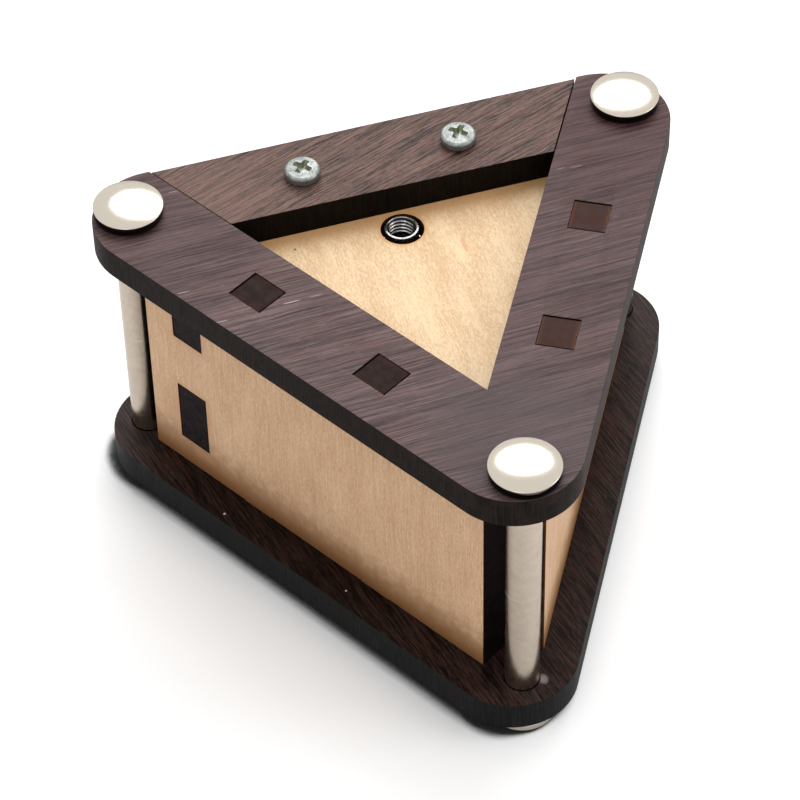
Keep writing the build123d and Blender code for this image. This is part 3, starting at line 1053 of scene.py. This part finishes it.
@dataclass
class Posts(Threaded):
    """The three posts: each an upper and a lower headed sleeve on a threaded stud."""

    sleeve_radius_mm: float = 3.1
    bore_radius_mm: float = 2.3
    joint_gap_mm: float = 0.02
    joint_chamfer_mm: float = 0.03
    seats_mm: tuple[float, float] = (2.3, 62.15)    # where the lower and the upper heads begin
    bores_mm: tuple[float, float] = (10.6, 15.0)    # depths of the lower and the upper bores
    shoulder_radius_mm: float = 4.5
    shoulder_mm: float = 0.35
    head_radius_mm: float = 6.25
    head_rim_mm: float = 0.9
    head_dome_mm: float = 1.3
    head_round_mm: float = 0.12
    head_undercut_mm: float = 0.2    # how far the rim draws in towards its foot
    head_bevel_mm: tuple[float, float] = (0.1, 0.08)    # at that foot, across and up
    round_steps: int = 7
    dome_steps: int = 16
    stud_root_mm: float = 1.98
    stud_crest_mm: float = 2.26
    stud_chamfer_mm: float = 0.5
    stud_tip_mm: float = 0.3    # how far a tip draws in over its chamfer
    stud_lead_mm: float = 0.5    # over which the thread rises at each end
    rows_per_turn: int = 10

    def head_profile(self, face_mm: float) -> list[tuple[float, float]]:
        """The head from its shoulder to its crown, on a seat at this height."""
        radius = self.head_radius_mm
        low = face_mm + self.shoulder_mm
        rim = low + self.head_rim_mm
        sphere = (radius ** 2 + self.head_dome_mm ** 2) / (2 * self.head_dome_mm)
        middle = rim + self.head_dome_mm - sphere
        inner = radius - self.head_round_mm
        bend_height = middle + math.sqrt((sphere - self.head_round_mm) ** 2 - inner ** 2)
        lean = math.degrees(math.atan2(bend_height - middle, inner))
        foot = radius - self.head_undercut_mm
        across, up = self.head_bevel_mm
        return [
            (self.shoulder_radius_mm, face_mm), (self.shoulder_radius_mm, low), (foot - across, low),
            (foot, low + up), *arc((inner, bend_height), self.head_round_mm, 0, lean, self.round_steps),
            *arc((0.0, middle), sphere, lean, 90, self.dome_steps)[1:-1], (0.0, rim + self.head_dome_mm),
        ]

    def sleeve(self, corner: Corner, centre: Vector, upper: bool) -> Mesh:
        """The mesh of a post's upper or lower sleeve; the lower one is the same form upside down, cut flat."""
        joint = sum(self.seats_mm) / 2
        face = self.seats_mm[1]
        bore_end = joint + self.bores_mm[upper]
        end = joint + self.joint_gap_mm / 2
        chamfer = self.joint_chamfer_mm
        bore, outer = self.bore_radius_mm, self.sleeve_radius_mm
        profile = [
            (0.0, bore_end), (bore, bore_end), (bore, end + chamfer), (bore + chamfer, end), (outer - chamfer, end),
            (outer, end + chamfer), (outer, face), *self.head_profile(face),
        ]
        if not upper:
            profile = [(radius, max(2 * joint - height, 0.0)) for radius, height in profile]
        name = f"{corner}_{'upper' if upper else 'lower'}_sleeve_metal"
        return Lathe(name, centre).turn(profile).finished(METAL_SMOOTH_BELOW_DEG)

    def stud(self, corner: Corner, axis: Axis, finish: Material) -> Object:
        """A threaded stud, its thread wound between two chamfered ends."""
        root, chamfer = self.stud_root_mm, self.stud_chamfer_mm
        bottom, top = axis.bottom_mm + chamfer, axis.top_mm - chamfer
        lathe = Lathe("stud_ends", axis.centre)
        for tip, start in ((axis.bottom_mm, bottom), (axis.top_mm, top)):
            lathe.turn([(0, tip), (root - self.stud_tip_mm, tip), (root, start)])
        rows = int((axis.top_mm - axis.bottom_mm) / self.pitch_mm * self.rows_per_turn)
        return self.wound(f"{corner}_stud_thread", lathe, finish, rows, inside=False, Radius=root,
                          Depth=self.stud_crest_mm - root, Bottom=bottom, Top=top, Lead=self.stud_lead_mm)

    def build(self) -> None:
        """Makes the sleeves and the studs."""
        # where the painted dark reflection on the upper heads' rims ends
        rim = self.seats_mm[1] + self.shoulder_mm + self.head_rim_mm - POLISH_EDGE_MM
        nickel = Metal("nickel_plate", (0.70, 0.60, 0.49), (0.60, 0.51, 0.42), (0.17, 0.26), patch_mm=1.6,
                       grit_mm=0.2, heads_mm=(*self.seats_mm, rim)).material()
        steel = Metal("stud_zinc", (0.58, 0.57, 0.54), (0.45, 0.44, 0.42), (0.25, 0.4),
                      recess_shade=(0.16, 0.155, 0.145)).material()
        for corner in Corner:
            stud = f"{corner}_stud"
            axis = Axis.of(stud)
            for upper, body in ((True, f"{corner}_cap"), (False, "base")):
                mesh = self.sleeve(corner, axis.centre, upper)
                mesh.materials.append(nickel)
                self.hand_over(new_object(mesh.name, mesh), body, Slot.NICKEL, mesh.name.removesuffix("_metal"))
            self.hand_over(self.stud(corner, axis, steel), stud, Slot.STUD, stud)


@dataclass
class Lock(Threaded):
    """The loose sleeve in the lid: a blind hole with the turns of its thread inside."""

    root_mm: float = 2.62
    thread_mm: float = 0.40
    outer_mm: float = 3.1
    chamfer_mm: float = 0.16
    bend: float = 0.29    # share of the chamfer where its middle lies, which rounds it
    entry_mm: float = 0.08    # bevel at the mouth of the hole
    floor_mm: float = 0.3
    lead_mm: float = 0.15
    rows: int = 60

    def build(self) -> None:
        """Makes the lock sleeve."""
        axis = Axis.of("lock_sleeve")
        bottom, top, floor = axis.bottom_mm, axis.top_mm, axis.bottom_mm + self.floor_mm
        root, outer, chamfer = self.root_mm, self.outer_mm, self.chamfer_mm
        bend, mouth = self.bend * chamfer, top - self.entry_mm
        lathe = Lathe("lock_body", axis.centre)
        lathe.turn([
            (0, bottom), (outer - chamfer, bottom), (outer, bottom + chamfer), (outer, top - chamfer),
            (outer - bend, top - bend), (outer - chamfer, top), (root + self.entry_mm, top), (root, mouth),
        ])
        lathe.turn([(0, floor), (root, floor)])
        steel = Metal("bright_steel", (0.50, 0.48, 0.46), (0.26, 0.25, 0.24), (0.20, 0.36), patch_mm=0.7,
                      grit_mm=0.12, relief=0.04, recess_shade=(0.014, 0.012, 0.012)).material()
        sleeve = self.wound("lock_sleeve_metal", lathe, steel, self.rows, inside=True, Radius=root,
                            Depth=-self.thread_mm, Bottom=floor, Top=mouth, Lead=self.lead_mm)
        self.hand_over(sleeve, "lock", Slot.LOCK, "lock_sleeve")


def heading(turn_deg: float, lift_deg: float) -> Vector:
    """A direction out from the box: turned from straight behind it to its right, and then lifted."""
    turn, lift = math.radians(turn_deg), math.radians(lift_deg)
    return Vector((math.sin(turn) * math.cos(lift), math.cos(turn) * math.cos(lift), math.sin(lift)))


@dataclass(frozen=True)
class Panel:
    """A soft panel lamp: where it hangs and how bright it is."""

    name: str
    azimuth_deg: float    # both angles are those of heading
    elevation_deg: float
    distance_m: float
    size_m: tuple[float, float]    # width and height
    radiance: float    # 1 is as bright as a white surface in full light


def hang_up(name: str, data: ID, place: Vector, away: Vector, roll_deg: float = 0.0) -> Object:
    """A camera or lamp at this place, which looks along the opposite of a direction, rolled by this much."""
    made = new_object(name, data)
    turn = away.to_track_quat("Z", "Y").to_matrix() @ Matrix.Rotation(math.radians(roll_deg), 3, "Z")
    made.matrix_world = Matrix.Translation(place) @ turn.to_4x4()
    return made


@dataclass
class Studio:
    """The pale floor, the soft lights and the camera."""

    camera_azimuth_deg: float = 196.448
    camera_elevation_deg: float = 46.570
    camera_roll_deg: float = -1.301
    camera_distance_m: float = 0.58631
    camera_clip_m: float = 0.01
    aim_m: tuple[float, float, float] = (-0.014617, -0.019717, 0.0616)
    lens_mm: float = 157.62
    sensor_mm: float = 36.0
    ambient: float = 0.58
    floor_colour: Colour = (0.82, 0.82, 0.82)
    floor_glow: float = 0.40
    shade_m: float = 0.022    # how far from the box the floor's glow comes up
    contact_m: float = 0.005    # how far from the box its contact shadow reaches
    contact_open: tuple[float, float] = (0.56, 0.72)    # how open the floor is where that shadow starts and ends
    contact_shadow_colour: Colour = (0.05, 0.05, 0.05)
    shade_lean: Direction = (0.56, -0.24, 0.79)    # towards the brighter side
    panels: tuple[Panel, ...] = (
        Panel("rear_panel", 20.0, 50.0, 0.76, (0.68, 0.68), 3.3),
        Panel("right_panel", 105.0, 36.0, 1.1, (0.55, 0.55), 3.3),
        Panel("front_left_panel", 218.0, 56.0, 0.9, (0.34, 0.34), 2.3),
    )

    def build(self) -> None:
        """Sets up the whole studio."""
        bpy.context.scene.view_settings.view_transform = "Standard"
        self.camera()
        self.floor()
        self.world()
        for panel in self.panels:
            self.lamp(panel)
        LOG.info("studio has %d lamps", len(self.panels))

    def camera(self) -> None:
        """Puts the camera at the photograph's viewpoint."""
        data = bpy.data.cameras.new("camera")
        data.lens, data.sensor_width, data.clip_start = self.lens_mm, self.sensor_mm, self.camera_clip_m
        away = heading(self.camera_azimuth_deg, self.camera_elevation_deg)
        place = Vector(self.aim_m) + away * self.camera_distance_m
        bpy.context.scene.camera = hang_up("camera", data, place, away, self.camera_roll_deg)

    def floor(self) -> None:
        """A pale floor that shows white to the camera and keeps the box's shadow, with a painted contact shadow from
        ambient occlusion beside the box.
        """
        half = FLOOR_HALF_M
        mesh = bpy.data.meshes.new("floor")
        mesh.from_pydata([(-half, -half, 0), (half, -half, 0), (half, half, 0), (-half, half, 0)], [], [(0, 1, 2, 3)])
        material, shader = new_material("pale_floor")
        lean = shader.vector(*self.shade_lean)
        wide, tight = (
            shader.add("ShaderNodeAmbientOcclusion", {"Distance": reach, "Normal": lean}, samples=FLOOR_SAMPLES)["AO"]
            for reach in (self.shade_m, self.contact_m))
        contact = tight.rise(*self.contact_open)
        colour = shader.mix(contact, self.contact_shadow_colour, self.floor_colour)
        matt = shader.add("ShaderNodeBsdfDiffuse", {"Color": colour})[0]
        seen = shader.add("ShaderNodeLightPath")["Is Camera Ray"]
        glow = shader.add("ShaderNodeEmission", {"Color": wide * contact, "Strength": seen * self.floor_glow})[0]
        shader.put(shader.end, shader.add("ShaderNodeAddShader", {0: matt, 1: glow})[0])
        mesh.materials.append(material)
        new_object("floor", mesh)

    def world(self) -> None:
        """White surroundings, dimmer as light than as what is seen."""
        world = bpy.data.worlds.new("studio")
        bpy.context.scene.world = world
        shader = Shader(world, "ShaderNodeOutputWorld")
        strength = shader.shown_directly() * (1 - self.ambient) + self.ambient
        sky = shader.add("ShaderNodeBackground", {"Color": (1.0, 1.0, 1.0), "Strength": strength})[0]
        shader.put(shader.end, sky)

    def lamp(self, panel: Panel) -> None:
        """Hangs up a soft oval panel that faces the box."""
        data = bpy.data.lights.new(panel.name, "AREA")
        data.shape = "ELLIPSE"
        data.size, data.size_y = width, height = panel.size_m
        data.energy = panel.radiance * math.pi * (width * height * math.pi / 4)
        away = heading(panel.azimuth_deg, panel.elevation_deg)
        hang_up(panel.name, data, away * panel.distance_m, away)


def main() -> None:
    logging.basicConfig(level=logging.INFO, format="%(name)s: %(message)s")
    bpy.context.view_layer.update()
    Studio().build()
    Plates().build()
    Walls().build()
    Lid().build()
    thread = thread_recipe()
    Posts(thread).build()
    Lock(thread).build()


if __name__ == "__main__":
    main()
